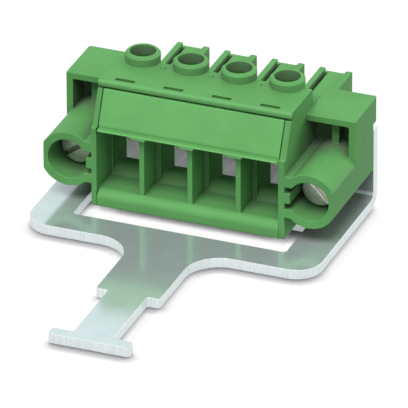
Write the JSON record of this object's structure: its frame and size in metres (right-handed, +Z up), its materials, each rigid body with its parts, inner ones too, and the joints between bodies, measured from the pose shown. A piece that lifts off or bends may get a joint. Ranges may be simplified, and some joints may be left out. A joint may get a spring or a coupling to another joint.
{
  "type": "pluggable terminal block plug",
  "caption": "Pluggable terminal block plug with screw clamps, screw flanges and an angled shield plate with a tongue for the cable shield.",
  "frame": {"origin": "middle of the footprint, on the underside of the shield plate", "axes": "+X along the row of poles, +Y towards the mating side, +Z up; wires enter from -Y"},
  "size_m": [0.0458, 0.0706, 0.0225],
  "materials": {
    "green_plastic": "satin moulded polyamide",
    "plated_steel": "smooth tin plating",
    "screw_steel": "zinc plated",
    "sleeve_steel": "zinc plated",
    "tinned_copper": "tin plated copper alloy",
    "spring_steel": "bright spring steel"
  },
  "bodies": {
    "plug": {"housing_body": "green_plastic", "contact_carrier": "green_plastic", "front_cover": "green_plastic", "shield_plate": "plated_steel", "contact_1": "tinned_copper", "contact_2": "tinned_copper", "contact_3": "tinned_copper", "contact_4": "tinned_copper", "contact_spring_1": "spring_steel", "contact_spring_2": "spring_steel", "contact_spring_3": "spring_steel", "contact_spring_4": "spring_steel"},
    "clamp_screw_1": {"clamp_screw_1": "screw_steel"},
    "clamp_sleeve_1": {"clamp_sleeve_1": "sleeve_steel"},
    "clamp_screw_2": {"clamp_screw_2": "screw_steel"},
    "clamp_sleeve_2": {"clamp_sleeve_2": "sleeve_steel"},
    "clamp_screw_3": {"clamp_screw_3": "screw_steel"},
    "clamp_sleeve_3": {"clamp_sleeve_3": "sleeve_steel"},
    "clamp_screw_4": {"clamp_screw_4": "screw_steel"},
    "clamp_sleeve_4": {"clamp_sleeve_4": "sleeve_steel"},
    "flange_screw_left": {"flange_screw_left": "screw_steel"},
    "flange_screw_right": {"flange_screw_right": "screw_steel"}
  },
  "joints": [
    {"name": "clamp_screw_1_turn", "type": "hinge", "parent": "plug", "child": "clamp_screw_1", "pos_m": [-0.01143, 0.01496, 0.016], "axis": [0, 0, -1], "range_deg": [0, 1728]},
    {"name": "clamp_sleeve_1_lift", "type": "slide", "parent": "plug", "child": "clamp_sleeve_1", "axis": [0, 0, 1], "range_m": [0, 0.0024]},
    {"name": "clamp_screw_2_turn", "type": "hinge", "parent": "plug", "child": "clamp_screw_2", "pos_m": [-0.00381, 0.01496, 0.016], "axis": [0, 0, -1], "range_deg": [0, 1728]},
    {"name": "clamp_sleeve_2_lift", "type": "slide", "parent": "plug", "child": "clamp_sleeve_2", "axis": [0, 0, 1], "range_m": [0, 0.0024]},
    {"name": "clamp_screw_3_turn", "type": "hinge", "parent": "plug", "child": "clamp_screw_3", "pos_m": [0.00381, 0.01496, 0.016], "axis": [0, 0, -1], "range_deg": [0, 1728]},
    {"name": "clamp_sleeve_3_lift", "type": "slide", "parent": "plug", "child": "clamp_sleeve_3", "axis": [0, 0, 1], "range_m": [0, 0.0024]},
    {"name": "clamp_screw_4_turn", "type": "hinge", "parent": "plug", "child": "clamp_screw_4", "pos_m": [0.01143, 0.01496, 0.016], "axis": [0, 0, -1], "range_deg": [0, 1728]},
    {"name": "clamp_sleeve_4_lift", "type": "slide", "parent": "plug", "child": "clamp_sleeve_4", "axis": [0, 0, 1], "range_m": [0, 0.0024]},
    {"name": "flange_screw_left_turn", "type": "hinge", "parent": "plug", "child": "flange_screw_left", "pos_m": [-0.01905, 0.0137, 0.0085], "axis": [0, 1, 0], "continuous": true},
    {"name": "flange_screw_right_turn", "type": "hinge", "parent": "plug", "child": "flange_screw_right", "pos_m": [0.01905, 0.0137, 0.0085], "axis": [0, 1, 0], "continuous": true}
  ],
  "couplings": [
    {"joint": "clamp_screw_1_turn", "follows": "clamp_sleeve_1_lift", "rad_per_m": 12566},
    {"joint": "clamp_screw_2_turn", "follows": "clamp_sleeve_2_lift", "rad_per_m": 12566},
    {"joint": "clamp_screw_3_turn", "follows": "clamp_sleeve_3_lift", "rad_per_m": 12566},
    {"joint": "clamp_screw_4_turn", "follows": "clamp_sleeve_4_lift", "rad_per_m": 12566}
  ]
}
